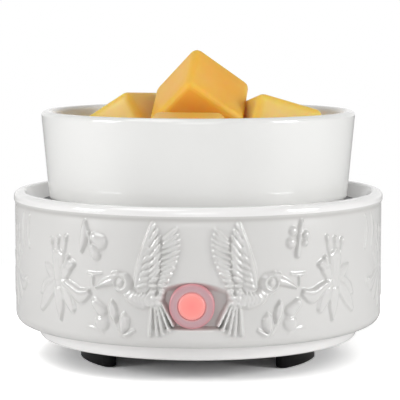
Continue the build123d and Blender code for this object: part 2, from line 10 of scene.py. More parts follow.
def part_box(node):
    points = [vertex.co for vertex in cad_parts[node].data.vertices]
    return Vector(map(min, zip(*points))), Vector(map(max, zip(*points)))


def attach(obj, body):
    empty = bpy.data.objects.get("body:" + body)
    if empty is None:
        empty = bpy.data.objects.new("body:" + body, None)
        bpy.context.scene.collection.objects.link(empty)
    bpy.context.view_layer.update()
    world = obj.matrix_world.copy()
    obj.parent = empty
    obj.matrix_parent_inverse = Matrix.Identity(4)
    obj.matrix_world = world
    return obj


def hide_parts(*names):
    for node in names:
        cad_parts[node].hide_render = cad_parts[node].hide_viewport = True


# Table-top wax melt warmer: glazed base with a moulded relief, loose dish, five wax cubes and a lit button.
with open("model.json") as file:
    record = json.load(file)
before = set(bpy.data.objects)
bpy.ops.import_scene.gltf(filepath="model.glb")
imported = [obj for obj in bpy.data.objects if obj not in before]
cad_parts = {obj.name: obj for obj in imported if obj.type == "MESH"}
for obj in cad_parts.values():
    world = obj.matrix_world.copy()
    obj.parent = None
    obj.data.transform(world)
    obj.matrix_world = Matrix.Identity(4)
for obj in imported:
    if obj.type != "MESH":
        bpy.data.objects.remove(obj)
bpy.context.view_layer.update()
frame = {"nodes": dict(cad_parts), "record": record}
nodes = frame["nodes"]
mm = 0.001
bpy.context.scene.view_settings.view_transform = "Standard"
print("frame loaded:", len(nodes), "nodes")


def linear(hexText):
    shades = [int(hexText[i:i + 2], 16) / 255 for i in (1, 3, 5)]
    return [s / 12.92 if s <= 0.04045 else ((s + 0.055) / 1.055) ** 2.4 for s in shades] + [1.0]


def addNode(tree, kind, settings, links):
    node = tree.nodes.new(kind)
    for name, value in settings.items():
        if name == "stops":
            ramp = node.color_ramp.elements
            while len(ramp) < len(value):
                ramp.new(0.5)
            for stop, (place, colour) in zip(ramp, value):
                stop.position = place
                stop.color = linear(colour)
        elif isinstance(name, int) or name in node.inputs:
            node.inputs[name].default_value = value
        else:
            setattr(node, name, value)
    for name, socket in links.items():
        tree.links.new(socket, node.inputs[name])
    return node


def startMaterial(name, settings):
    material = bpy.data.materials.new(name)
    material.use_nodes = True
    tree = material.node_tree
    tree.nodes.clear()
    shader = addNode(tree, "ShaderNodeBsdfPrincipled", settings, {})
    addNode(tree, "ShaderNodeOutputMaterial", {}, {"Surface": shader.outputs["BSDF"]})
    place = addNode(tree, "ShaderNodeTexCoord", {}, {}).outputs["Object"]
    return material, tree, shader, place


def perMetre(size):
    return 1 / (size * mm)  # noise scale for a pattern of this size in mm


# Glazed stoneware: a thick clear glaze over a white body, so the surface is glossy and very slightly wavy.
# Painted shade greys the sunk seat, a line under the bead and the hollows, where glaze also pools.
def glazedStoneware(name, body, poolShadeTone):
    material, tree, shader, place = startMaterial(name, {"Roughness": 0.08, "IOR": 1.55,
                                                         "Specular IOR Level": 0.85})
    cloud = addNode(tree, "ShaderNodeTexNoise", {"Scale": perMetre(45), "Detail": 2.0}, {"Vector": place})
    tone = addNode(tree, "ShaderNodeValToRGB", {"stops": [(0.35, body[0]), (0.65, body[1])]},
                   {"Fac": cloud.outputs["Fac"]})
    # painted shade mask: greys the glaze in the hollows (partly glaze pooling), in the seat and under the
    # bead
    poolShadeAmount = addNode(tree, "ShaderNodeAttribute", {"attribute_name": "pooling"}, {})
    mix = addNode(tree, "ShaderNodeMix", {"data_type": "RGBA", 7: linear(poolShadeTone)},
                  {0: poolShadeAmount.outputs["Fac"], 6: tone.outputs["Color"]})
    tree.links.new(mix.outputs[2], shader.inputs["Base Color"])
    wave = addNode(tree, "ShaderNodeTexNoise", {"Scale": perMetre(14), "Detail": 1.0}, {"Vector": place})
    bump = addNode(tree, "ShaderNodeBump", {"Strength": 0.05, "Distance": 0.6 * mm},
                   {"Height": wave.outputs["Fac"]})
    tree.links.new(bump.outputs["Normal"], shader.inputs["Normal"])
    return material


# Cast paraffin wax: translucent, so light goes some millimetres in and comes out warmer. A painted
# highlight turns the colour golden towards the edges, for light through them; with a soft sheen and faint
# cloudy streaks from the pour.
def castWax(name, tones, edgeLightTone):
    material, tree, shader, place = startMaterial(name, {
        "Roughness": 0.42, "IOR": 1.43, "Specular IOR Level": 0.4, "Subsurface Weight": 0.9,
        "Subsurface Scale": 10 * mm, "Subsurface Radius": (1.0, 0.5, 0.12)})
    cloud = addNode(tree, "ShaderNodeTexNoise", {"Scale": perMetre(22), "Detail": 3.0, "Distortion": 0.6},
                    {"Vector": place})
    tone = addNode(tree, "ShaderNodeValToRGB", {"stops": [(0.3, tones[0]), (0.7, tones[1])]},
                   {"Fac": cloud.outputs["Fac"]})
    # painted highlight: the golden tone towards the cube edges
    edge = addNode(tree, "ShaderNodeAttribute", {"attribute_name": "edge"}, {})
    mix = addNode(tree, "ShaderNodeMix", {"data_type": "RGBA", 7: linear(edgeLightTone)},
                  {0: edge.outputs["Fac"], 6: tone.outputs["Color"]})
    tree.links.new(mix.outputs[2], shader.inputs["Base Color"])
    skin = addNode(tree, "ShaderNodeTexNoise", {"Scale": perMetre(5), "Detail": 3.0}, {"Vector": place})
    bump = addNode(tree, "ShaderNodeBump", {"Strength": 0.12, "Distance": 0.3 * mm},
                   {"Height": skin.outputs["Fac"]})
    tree.links.new(bump.outputs["Normal"], shader.inputs["Normal"])
    return material


# Moulded and metal finishes: two close tones in a grain of real size, also seen in roughness and bump.
def grainedFinish(name, tones, roughness, grain, depth, settings):
    material, tree, shader, place = startMaterial(name, settings)
    speck = addNode(tree, "ShaderNodeTexNoise", {"Scale": perMetre(grain), "Detail": 4.0},
                    {"Vector": place})
    tone = addNode(tree, "ShaderNodeValToRGB", {"stops": [(0.35, tones[0]), (0.65, tones[1])]},
                   {"Fac": speck.outputs["Fac"]})
    tree.links.new(tone.outputs["Color"], shader.inputs["Base Color"])
    rough = addNode(tree, "ShaderNodeMapRange", {"To Min": roughness * 0.85, "To Max": roughness * 1.15},
                    {"Value": speck.outputs["Fac"]})
    tree.links.new(rough.outputs["Result"], shader.inputs["Roughness"])
    bump = addNode(tree, "ShaderNodeBump", {"Strength": 0.3, "Distance": depth * mm},
                   {"Height": speck.outputs["Fac"]})
    tree.links.new(bump.outputs["Normal"], shader.inputs["Normal"])
    return material


# Frosted acrylic over a red lamp: the cap glows strongest at the middle. The ring is no lamp, so its glow,
# pink tones and thin pink line at the outer edge are painted light; both glows also lift the shade in the
# gap as painted light.
def litAcrylic(name, button, glow, shade):
    material, tree, shader, place = startMaterial(name, {"Roughness": 0.32, "IOR": 1.49,
                                                         "Emission Strength": glow})
    middle = addNode(tree, "ShaderNodeMapping", {"Location": (0, 0, -button["height"] * mm),
                                                 "Scale": (1, 0, 1)}, {"Vector": place})
    away = addNode(tree, "ShaderNodeVectorMath", {"operation": "LENGTH"}, {0: middle.outputs["Vector"]})
    share = addNode(tree, "ShaderNodeMapRange", {"From Max": button["ringRadius"] * mm},
                    {"Value": away.outputs["Value"]})
    tone = addNode(tree, "ShaderNodeValToRGB", {"stops": button["tones"]}, {"Fac": share.outputs["Result"]})
    # base colour dimmed so that the glow fills the shade at the edges and in the gap, as painted light
    unlit = addNode(tree, "ShaderNodeHueSaturation", {"Value": shade}, {"Color": tone.outputs["Color"]})
    tree.links.new(unlit.outputs["Color"], shader.inputs["Base Color"])
    tree.links.new(tone.outputs["Color"], shader.inputs["Emission Color"])
    return material


# tones by distance from the middle: the lamp's salmon on the cap, mauve on the ring and a painted pink line
# at its edge
button = {"height": 28.3, "ringRadius": 7.6,
          "tones": [(0.0, "#ff8d88"), (0.40, "#ff9790"), (0.57, "#f7a09b"), (0.63, "#d3a6a9"),
                    (0.72, "#c6a2a8"), (0.90, "#c99ca2"), (0.97, "#d4949a")]}

# Lit and shaded copies of one white glaze: wall painted darker as shade; rim, well, plinth and dish painted
# lighter.
glazeWallShaded = glazedStoneware("glazed stoneware base, shaded copy", ("#dad9d7", "#dedddb"), "#b6b4b0")
glazeRimLit = glazedStoneware("glazed stoneware rim and plinth, lit copy", ("#f7f6f5", "#faf9f8"), "#c9c8c4")
glazeDishLit = glazedStoneware("glazed stoneware dish, lit copy", ("#eeeeec", "#f2f2f0"), "#c9c8c4")
finishes = {
    "ceramic_glaze": glazeWallShaded,
    # the paler copy of the wax: painted sheen on the side and rear cubes
    "wax": castWax("cast paraffin wax", ("#ffd67c", "#ffe19a"), "#f4c450"),
    "lit_button": litAcrylic("lit acrylic cap", button, 0.45, 0.6),
    # painted light: the ring glows from the cap's lamp though it is no lamp
    "bezel_plastic": litAcrylic("frosted acrylic ring, painted glow", button, 0.16, 0.84),
    # sprayed non-stick coat on aluminium: dark, satin, with a fine orange-peel grain
    "hot_plate": grainedFinish("non-stick coated aluminium", ("#3c3c3e", "#48484b"), 0.42, 0.9, 0.02, {}),
    # silicone rubber: mid grey and dull, as if dusty
    "silicone": grainedFinish("moulded silicone", ("#858585", "#8e8e8d"), 0.6, 1.5, 0.02, {}),
    # unglazed alumina: chalky off-white with no shine
    "heater_ceramic": grainedFinish("fired alumina", ("#dcd9d3", "#e3e0da"), 0.7, 0.8, 0.03, {}),
    # zinc plate on pressed steel: bright grey with cloudy passivation
    "steel": grainedFinish("zinc plated steel", ("#c3c4c6", "#d2d2d0"), 0.32, 2.5, 0.01, {"Metallic": 1.0}),
    # brass off the lathe: warm yellow with a fine, bright tool grain
    "brass": grainedFinish("turned brass", ("#d0b069", "#dcc07e"), 0.28, 0.7, 0.01, {"Metallic": 1.0}),
    # spark-eroded mould texture gives the black covers an even fine matt grain
    "cover_plastic": grainedFinish("textured black ABS", ("#202021", "#29292a"), 0.55, 0.6, 0.04, {}),
    # nylon from a smoother mould: as black, with a slight sheen
    "black_plastic": grainedFinish("moulded black nylon", ("#1d1d1d", "#262626"), 0.5, 0.9, 0.02, {}),
    # unglazed steatite: cream white and matt
    "fuse_ceramic": grainedFinish("fired steatite", ("#e3e1dc", "#ebe9e4"), 0.65, 0.8, 0.02, {}),
    # lacquer over glass laminate: deep green, glossy, a little cloudy
    "board": grainedFinish("green solder mask", ("#1f6a3d", "#277a48"), 0.25, 1.6, 0.01, {}),
    # coloured nylon: lighter green with a satin skin
    "terminal_plastic": grainedFinish("moulded green nylon", ("#2f8a54", "#38975f"), 0.45, 0.9, 0.02, {}),
    # poured polyester: mustard yellow, smooth and shiny
    "capacitor_plastic": grainedFinish("potted yellow polyester", ("#d6b13a", "#dfbc48"),
                                       0.3, 1.2, 0.01, {}),
    # extruded silicone tube: brick red with a soft sheen
    "lead_sleeve": grainedFinish("silicone sleeving", ("#b53a31", "#c2473d"), 0.5, 0.8, 0.02, {}),
    # moulded nitrile: near black, with a low sheen along its rounded edges
    "black_rubber": grainedFinish("moulded black rubber", ("#0b0b0c", "#111112"), 0.34, 1.1, 0.04,
                                  {"Specular IOR Level": 0.18}),
    # epoxy lens: strong red and glassy
    "led": grainedFinish("tinted epoxy", ("#e2332c", "#ee443c"), 0.2, 1.5, 0.01, {}),
}
for part in frame["record"]["subparts"]:
    surface = nodes[part["node"]].data.materials
    surface.clear()
    surface.append(finishes[part["material_slot"]])
print("finishes made:", len(finishes))

# Turning and drilling: how closely points count as one ring, or as one point, in metres, and facet counts.
ringTolerance = 5e-6
weldDistance = 1e-6
degreesPerFacet = 9
drillSides = 64


def pickRing(piece, radius, height):
    shape = bmesh.from_edit_mesh(piece.data)
    for edge in shape.edges:
        edge.select_set(all(abs(math.hypot(v.co.x, v.co.y) - radius * mm) < ringTolerance
                            and abs(v.co.z - height * mm) < ringTolerance for v in edge.verts))
    bmesh.update_edit_mesh(piece.data)


# A ring of edges is extruded and scaled along the profile, then its corners are bevelled.
# A corner is (radius, height, rounding) in mm, and a capped piece starts and ends on the axis.
def turnPiece(name, corners, sides, capped):
    bpy.ops.object.select_all(action="DESELECT")
    radius, height, _ = corners[0]
    bpy.ops.mesh.primitive_circle_add(vertices=sides, radius=radius * mm,
                                      fill_type="TRIFAN" if capped else "NOTHING")
    piece = bpy.context.object
    piece.name = piece.data.name = name
    bpy.ops.object.mode_set(mode="EDIT")
    bpy.ops.mesh.select_mode(type="EDGE")
    bpy.ops.mesh.select_all(action="SELECT")
    bpy.ops.transform.translate(value=(0, 0, height * mm))
    if capped:
        bpy.ops.mesh.region_to_loop()
    following = corners[1:] if capped else corners[1:] + corners[:1]
    for nextRadius, nextHeight, _ in following:
        climb = (0, 0, (nextHeight - height) * mm)
        bpy.ops.mesh.extrude_edges_move(TRANSFORM_OT_translate={"value": climb})
        grow = nextRadius / radius
        bpy.ops.transform.resize(value=(grow, grow, 1), center_override=(0, 0, nextHeight * mm))
        radius, height = nextRadius, nextHeight
    if capped:
        bpy.ops.mesh.extrude_edges_move()
        bpy.ops.mesh.merge(type="CENTER")
    bpy.ops.mesh.select_all(action="SELECT")
    bpy.ops.mesh.remove_doubles(threshold=weldDistance)
    bpy.ops.mesh.normals_make_consistent(inside=False)
    for i, (radius, height, rounding) in enumerate(corners):
        if rounding:
            isFirst = capped and i == 0
            isLast = capped and i + 1 == len(corners)
            before = (0, height) if isFirst else corners[i - 1]
            after = (0, height) if isLast else corners[(i + 1) % len(corners)]
            arrive = Vector((radius - before[0], height - before[1]))
            leave = Vector((after[0] - radius, after[1] - height))
            turn = arrive.angle(leave)
            pickRing(piece, radius, height)
            bpy.ops.mesh.bevel(offset=rounding * math.tan(turn / 2) * mm, affect="EDGES",
                               clamp_overlap=False,
                               segments=max(3, round(math.degrees(turn) / degreesPerFacet)))
    bpy.ops.object.mode_set(mode="OBJECT")
    bpy.ops.object.shade_smooth()
    return piece


def evenShading(piece):
    bpy.context.view_layer.objects.active = piece
    piece.modifiers.new("even shading", "WEIGHTED_NORMAL")
    bpy.ops.object.modifier_apply(modifier="even shading")


def drillThrough(piece, radius, height, span):
    nearY, farY = span
    bpy.ops.object.select_all(action="DESELECT")
    bpy.ops.mesh.primitive_cylinder_add(vertices=drillSides, radius=radius * mm, depth=(farY - nearY) * mm,
                                        location=(0, (nearY + farY) / 2 * mm, height * mm),
                                        rotation=(math.pi / 2, 0, 0))
    drill = bpy.context.object
    hole = piece.modifiers.new("hole", "BOOLEAN")
    hole.object = drill
    bpy.context.view_layer.objects.active = piece
    bpy.ops.object.modifier_apply(modifier="hole")
    bpy.data.objects.remove(drill)


def finishPiece(piece, body, material, node):
    piece.data.materials.clear()
    piece.data.materials.append(material)
    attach(piece, body)
    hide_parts(node)


# Base: the turned inside, rim and plinth, with the outer wall left for the relief band.
base = {
    "wallRadius": 67.0, "wallFoot": 13.5, "footRound": 3.5, "footSteps": 10, "bandTop": 58.2,
    "bandInner": 63.2, "beadRadius": 67.4, "beadLap": 0.02, "beadBlend": 1.3, "cove": 0.05, "coveDrop": 1.4,
    "profile": [(58.0, 8.2, 1.0), (59.5, 13.5, 0), (59.5, 14.1, 0), (63.1, 14.1, 0), (63.1, 57.9, 0),
                (67.2, 57.9, 0), (67.4, 58.15, 0), (67.4, 61.1, 2.0), (63.7, 61.1, 1.2), (60.5, 54.9, 1.0),
                (54.0, 54.9, 0.8), (54.0, 51.3, 0), (62.5, 45.5, 2.0), (62.5, 16.5, 2.0), (53.5, 16.5, 1.0),
                (53.5, 8.2, 0.6)],
    "inletHeight": 25.5, "inletSeat": 64.0, "inletSeatRadius": 7.4, "inletRadius": 5.2,
    "barrelRadius": 5.55, "frontDrill": (-72, -55), "rearDrill": (55, 72),
    "footFlat": (59.2, 61.5), "lipRise": 0.5, "rearRadians": 2.5, "sharpDegrees": 60, "sides": 192,
}
housingBody = turnPiece("housing_body", base["profile"], base["sides"], False)
drillThrough(housingBody, base["barrelRadius"], button["height"], base["frontDrill"])
drillThrough(housingBody, base["inletRadius"], base["inletHeight"], base["rearDrill"])
evenShading(housingBody)
finishPiece(housingBody, "base", glazeRimLit, "housing")
print("base turned")

# Relief band: a grid of wall rows and columns, finest at the front, raised by the drawn shapes and then
# wrapped round the base. Shapes are drawn in mm: along the wall from the button, and up from a zero line.
relief = {"middle": 1.3, "zeroLine": 1.5, "rowStep": 0.3, "front": (80.0, 0.26), "rearStep": 0.55,
          "seatDepth": 64.0, "seatHalf": 13.5, "seatBottom": 20.4, "seatCrown": 36.2, "seatDrop": 3.5,
          "seatSoft": (0.8, 0.5, 1.8), "fadeFrom": (60, 80), "fadeTo": (1, 0.3), "topFade": (1.6, 1.2),
          "footFade": 0.8}
# How a stroke is sampled and domed, and where painted shade greys the glaze (in the hollows, glaze pooling
# as well).
strokeShape = {"steps": 18, "margin": 0.5, "shoulder": 0.6, "ribWidth": 0.22}
glazePoolAndShade = {"passes": 14, "depth": 2.4, "seat": 0.2, "underBead": 0.5, "beadDrop": 1.3, "beadWidth": 0.7}

frontReach, frontStep = relief["front"]
halfTurn = math.pi * base["wallRadius"]
frontHalf = np.linspace(0, frontReach, math.ceil(frontReach / frontStep) + 1)
rearHalf = np.linspace(frontReach, halfTurn, math.ceil((halfTurn - frontReach) / relief["rearStep"]) + 1)
across = np.concatenate([-rearHalf[:0:-1], -frontHalf[:0:-1], frontHalf, rearHalf[1:]])
upStart = base["wallFoot"] + base["footRound"]
up = np.linspace(upStart, base["bandTop"], round((base["bandTop"] - upStart) / relief["rowStep"]) + 1)
drawnUp = up - relief["zeroLine"]
height = np.zeros((len(up), len(across)))


def smoothLine(points, count):
    points = np.array(points, float)
    if len(points) == 1:
        return np.repeat(points, 2, 0)
    padded = np.vstack([2 * points[0] - points[1], points, 2 * points[-1] - points[-2]])
    line = []
    for t in np.linspace(0, len(points) - 1, count):
        i = min(int(t), len(points) - 2)
        f = t - i
        a, b, c, d = padded[i:i + 4]
        line.append(0.5 * (2 * b + (c - a) * f + (2 * a - 5 * b + 4 * c - d) * f * f
                           + (3 * b - a - 3 * c + d) * f ** 3))
    return np.array(line)


# A stroke is a domed band along a smooth line, with half widths given along it. It lies over what is
# there, so that its edge cuts a groove, or it adds to it, or it only fills what is lower. A high flatness
# levels its top.
def stroke(points, widths, rise, lift=0.0, rib=0.0, how="over", flatness=4.5):
    line = smoothLine(points, strokeShape["steps"])
    halves = np.interp(np.linspace(0, 1, len(line)), np.linspace(0, 1, len(widths)), widths)
    margin = max(widths) + strokeShape["margin"]
    left, low = line.min(0) - margin
    right, high = line.max(0) + margin
    columns = np.flatnonzero((across > left) & (across < right))
    rows = np.flatnonzero((drawnUp > low) & (drawnUp < high))
    if not len(columns) or not len(rows):
        return
    spot = np.ix_(rows, columns)
    gridX, gridY = np.meshgrid(across[columns], drawnUp[rows])
    best = np.full(gridX.shape, np.inf)
    for start, end, halfStart, halfEnd in zip(line, line[1:], halves, halves[1:]):
        run = end - start
        length = max(run @ run, 1e-9)
        offX, offY = gridX - start[0], gridY - start[1]
        t = np.clip((offX * run[0] + offY * run[1]) / length, 0, 1)
        away = np.hypot(offX - t * run[0], offY - t * run[1]) / (halfStart + t * (halfEnd - halfStart))
        best = np.minimum(best, away)
    dome = rise * np.clip(1 - best ** flatness, 0, 1) ** strokeShape["shoulder"]
    dome = dome + rib * np.exp(-(best / strokeShape["ribWidth"]) ** 2)
    made = {"over": lift + dome, "add": height[spot] + dome, "fill": np.maximum(height[spot], lift + dome)}
    height[spot] = np.where(best < 1, made[how], height[spot])


def outward(side, points):
    return [(relief["middle"] + side * p[0], p[1]) for p in points]


def fan(side, roots, tips, count, widths, rise, lift, bend=0.0):
    for root, tip in zip(smoothLine(roots, count), smoothLine(tips, count)):
        middle = (root + tip) / 2 + bend * np.array([root[1] - tip[1], tip[0] - root[0]])
        stroke(outward(side, [root, middle, tip]), widths, rise, lift)


# Sunk flat seat behind the push button, under a low arch.
seatX, seatY = np.meshgrid(across, up)
arch = relief["seatCrown"] - relief["seatDrop"] * (seatX / relief["seatHalf"]) ** 2
softSide, softBottom, softArch = relief["seatSoft"]
inSeat = np.minimum.reduce([(relief["seatHalf"] - abs(seatX)) / softSide,
                            (seatY - relief["seatBottom"]) / softBottom, (arch - seatY) / softArch])
inSeat = np.clip(inSeat, 0, 1)
seatAngle = np.clip(seatX / base["wallRadius"], -1, 1)
height -= inSeat * (base["wallRadius"] - relief["seatDepth"] / np.cos(seatAngle))


def hummingbird(side):
    # low ground under the tail and rump, so that only their ends stand over the sunk seat
    stroke(outward(side, [(13.4, 30.0), (13.4, 26.0), (13.0, 17.6)]), [2.6, 2.2, 3.0], 0.2, -0.5,
           how="fill")
    stroke(outward(side, [(18.0, 33.6), (17.4, 40.0), (15.0, 50.0)]), [2.6, 2.8, 1.2], 0.3, 0.45,
           how="fill")
    # far wing, then the near wing's long feathers, two rows of short ones and the leading edge
    fan(side, [(10.5, 49.1), (11.0, 45.5), (11.4, 40.7), (11.6, 36.9), (12.2, 33.8)],
        [(6.6, 52.6), (5.6, 48.2), (6.2, 43.6), (7.8, 38.6), (10.2, 33.4)], 11,
        [0.45, 0.72, 0.75, 0.4], 1.0, 0.1, 0.04)
    fan(side, [(16.3, 48.9), (15.8, 44.6), (15.4, 40.2), (15.0, 36.6), (15.0, 33.6)],
        [(14.1, 54.6), (12.2, 50.2), (11.9, 44.6), (12.2, 39.2), (13.2, 33.6)], 9,
        [0.5, 0.82, 0.8, 0.4], 1.0, 0.35, 0.06)
    fan(side, [(18.9, 32.9), (18.5, 36.6), (17.6, 41.4), (16.6, 46.0)],
        [(16.4, 34.2), (15.8, 38.4), (15.5, 43.8), (15.3, 49.0)], 7, [0.45, 0.75, 0.7, 0.35], 0.95, 0.6)
    fan(side, [(19.6, 32.8), (19.3, 35.8)], [(17.6, 33.8), (17.3, 38.2)], 3,
        [0.5, 0.75, 0.65, 0.35], 0.95, 0.8)
    leadingEdge = [(20.0, 33.4), (19.5, 36.6), (18.6, 40.6), (17.5, 45.3), (15.8, 50.3), (14.2, 55.0)]
    stroke(outward(side, leadingEdge), [0.75, 0.95, 0.9, 0.8, 0.65, 0.3], 0.8, 0.95, flatness=2.0)
    # tail feathers as separate rods, rump tufts and the breast with its scallops
    for root, tip in [((14.7, 27.2), (15.4, 16.9)), ((13.7, 27.0), (12.9, 16.9)),
                      ((12.8, 27.0), (11.1, 17.4)), ((12.0, 27.2), (9.0, 18.5)),
                      ((11.2, 27.6), (7.6, 20.2))]:
        stroke(outward(side, [root, tip]), [0.42, 0.55, 0.62, 0.55], 1.0, 0.15)
    breast = [(23.6, 31.6), (21.0, 29.0), (17.6, 28.2), (14.6, 29.2)]
    stroke(outward(side, breast), [1.7, 2.2, 2.6, 1.9], 1.0, 0.2)
    for x, z, size in [(11.4, 31.4, 1.0), (12.2, 29.6, 1.1), (12.7, 27.7, 1.2), (14.4, 31.2, 1.1),
                       (14.0, 29.4, 1.2), (14.6, 27.3, 1.1)]:
        stroke(outward(side, [(x, z)]), [size], 0.9, 0.55)
    for k in range(5):
        x = 16.0 + 1.3 * k
        stroke(outward(side, [(x - 0.5, 31.0 - 0.1 * k), (x + 0.45, 29.0), (x - 0.2, 26.6 + 0.35 * k)]),
               [0.4, 0.55, 0.35], 0.35, 1.15)
    stroke(outward(side, [(25.0, 31.4), (23.7, 29.7), (22.1, 27.5)]), [0.5, 0.55, 0.35], 1.0, 0.3)
    # head with its ringed eye, crest and beak
    stroke(outward(side, [(28.0, 34.7), (31.0, 33.8), (35.2, 31.8)]), [1.6, 1.3, 0.25], 1.3, 0.25,
           flatness=2.6)
    stroke(outward(side, [(27.4, 32.6)]), [0.7], 0.6, 0.5)
    stroke(outward(side, [(24.9, 33.9)]), [3.5], 1.2, 0.3)
    eyeX, eyeY = 25.6, 34.2
    for radius, rise, thickness in [(2.5, 0.45, 0.5), (1.6, -0.6, 0.45)]:
        ring = [(eyeX + radius * math.cos(t), eyeY + radius * math.sin(t))
                for t in np.linspace(0, 2 * math.pi, 18)]
        stroke(outward(side, ring), [thickness], rise, how="add")
    stroke(outward(side, [(eyeX, eyeY)]), [0.95], 0.6, 1.2)
    stroke(outward(side, [(26.7, 36.7), (28.6, 36.5)]), [0.85, 0.7], 0.7, 1.1)


def leafSpray(side, x):
    def sprig(points, widths, rise, lift=0.0, rib=0.0):
        stroke(outward(side, [(x + a, b) for a, b in points]), widths, rise, lift, rib, flatness=2.6)

    sprig([(-3.2, 15.9), (-1.0, 19.4), (1.4, 23.6)], [0.35, 0.45, 0.3], 0.6)
    sprig([(-0.9, 20.8), (0.0, 24.2), (0.5, 27.8)], [0.3, 1.5, 1.6, 0.2], 1.3, 0, 0.12)
    sprig([(-3.4, 17.2), (-4.0, 20.6), (-4.0, 23.8)], [0.3, 1.7, 1.8, 0.2], 1.4, 0, 0.12)
    sprig([(-4.4, 16.2), (-7.4, 18.2)], [0.9, 0.5], 0.8)
    sprig([(3.6, 16.2), (7.4, 17.8), (11.2, 18.0)], [0.4, 0.45, 0.2], 0.2)
    sprig([(4.4, 20.0)], [2.8], 1.1)
    sprig([(7.2, 26.6), (4.4, 24.2)], [1.5, 2.2], 1.3)


def lily(side, x, z):
    def petal(points, widths, rise, lift=0.1, rib=0.0):
        stroke(outward(side, [(x + a, z + b) for a, b in points]), widths, rise, lift, rib)

    for tipX, tipZ in [(3.4, 13.8), (-0.2, 14.5), (-4.1, 15.2)]:
        petal([(tipX * 0.25, 6.4), (tipX * 0.8, 10.5), (tipX, tipZ)], [0.45, 0.5, 0.4], 0.6)
        petal([(tipX, tipZ), (tipX * 0.96, tipZ - 1.2)], [0.85, 0.7], 0.9)
    petal([(0.9, 0.5), (3.8, 2.6), (7.2, 5.0)], [1.0, 2.3, 1.8, 0.3], 0.6, 0.1, 0.1)
    petal([(10.2, -5.6), (5.8, -2.0), (0.8, 0.2)], [0.3, 2.1, 2.2, 0.8], 0.5, 0.1, 0.1)
    petal([(1.6, -0.8), (5.6, -5.4), (9.4, -10.6)], [1.2, 2.5, 2.4, 1.2], 0.65, 0.1, 0.1)
    petal([(-1.0, 0.4), (-3.6, 3.2), (-6.4, 6.4)], [1.3, 2.3, 2.2, 1.3], 0.85)
    petal([(-4.2, 5.6), (-5.0, 8.2)], [1.0, 0.8], 0.7, 0.6)
    petal([(-5.8, 4.8), (-7.8, 6.2)], [1.0, 0.7], 0.7, 0.6)
    petal([(-1.6, -1.0), (-4.6, -5.2), (-7.0, -9.2)], [1.1, 2.1, 2.1, 1.4], 0.8, 0.1, 0.1)
    petal([(0.2, -0.5), (-0.7, -6.4), (-1.5, -13.8)], [1.1, 2.5, 2.1, 0.3], 0.9, 0.1, 0.15)
    petal([(-1.6, 0.2), (-6.8, -2.2), (-10.6, -4.6), (-14.2, -3.4)], [0.7, 1.8, 2.5, 1.0], 1.0)
    petal([(-4.4, 0.0), (-8.2, -2.0), (-10.8, -3.0), (-14.2, -2.4)], [0.5, 0.75, 0.8, 0.6], 0.6, 1.0)
    petal([(-0.2, -0.9), (-0.1, 3.0), (0.0, 7.6)], [1.6, 2.3, 3.0], 0.6, 0.25)
    for k in (-1, 0, 1):
        petal([(k * 0.8, 0.2), (k * 1.3, 7.0)], [0.35, 0.45], 0.2, 0.8)


def twig(side, x):
    stroke(outward(side, [(x, 32.4), (x, 36.2)]), [0.3, 0.45], 0.8)
    stroke(outward(side, [(x + 2.2, 36.4), (x - 0.4, 36.2), (x - 3.4, 36.6)]), [0.35, 0.55, 0.3], 0.7)


def butterfly(side, x, z):
    for points, widths in [([(2.6, 7.0), (2.9, 2.4), (4.1, -3.4)], [0.6, 1.7, 1.6, 0.4]),
                           ([(-1.4, 1.8), (-3.6, 0.4)], [1.8, 2.7]),
                           ([(-0.6, -1.6), (-1.8, -4.0)], [1.5, 1.9]),
                           ([(1.0, 3.6), (0.4, 0.2), (0.2, -3.0)], [0.4, 0.65, 0.35])]:
        stroke(outward(side, [(x + a, z + b) for a, b in points]), widths, 1.25, flatness=2.6)


def dragonfly(side, x, z):
    for points, widths in [([(-2.1, 2.7)], [1.6]), ([(-2.9, -1.2)], [1.9]), ([(2.9, 1.3)], [1.4]),
                           ([(2.6, -1.4)], [1.3]), ([(1.3, 6.2), (0.5, 2.4)], [0.75, 0.9]),
                           ([(0.3, 1.4), (-0.4, -5.6)], [0.75, 1.05])]:
        stroke(outward(side, [(x + a, z + b) for a, b in points]), widths, 1.25, flatness=2.6)


# The front's forms, and the same ones carried on round the sides and back.
for side in (-1, 1):
    hummingbird(side)
    leafSpray(side, 28.5)
    twig(side, 36.4)
    lily(side, 52.4, 32.8)
    for x in (71.0, 77.0):
        stroke(outward(side, [(x, 53.6), (x + 1.8, 48.0), (x + 0.2, 42.0)]), [0.3, 1.2, 0.3], 0.9, 0, 0.15)
    lily(side, 88.0, 33.2)
    leafSpray(side, 112.0)
    butterfly(side, 112.0, 46.5)
    lily(side, 136.0, 32.8)
    leafSpray(side, 164.0)
    dragonfly(side, 164.0, 46.0)
butterfly(-1, 37.0, 46.9)
dragonfly(1, 36.0, 48.3)


def soften(field, passes):
    for _ in range(passes):
        for axis in (0, 1):
            rolled = [np.roll(field, s, axis) for s in (-1, 1)]
            if axis == 0:
                rolled[0][-1] = field[-1]
                rolled[1][0] = field[0]
            field = 0.5 * field + 0.25 * (rolled[0] + rolled[1])
    return field


# The sides stay low, so that the outline is smooth. Shade is painted into the glaze colour in the hollows,
# where glaze also pools, in the sunk seat and in a line under the bead.
height *= np.interp(abs(across), relief["fadeFrom"], relief["fadeTo"])
height = soften(height, 1)
sunk = (soften(height, glazePoolAndShade["passes"]) - height) / glazePoolAndShade["depth"]
# hollows grey partly for glaze pooling and partly as painted shade; the sunk seat gets painted shade
pooling = np.clip(sunk + glazePoolAndShade["seat"] * inSeat * (height < -1), 0, 1)
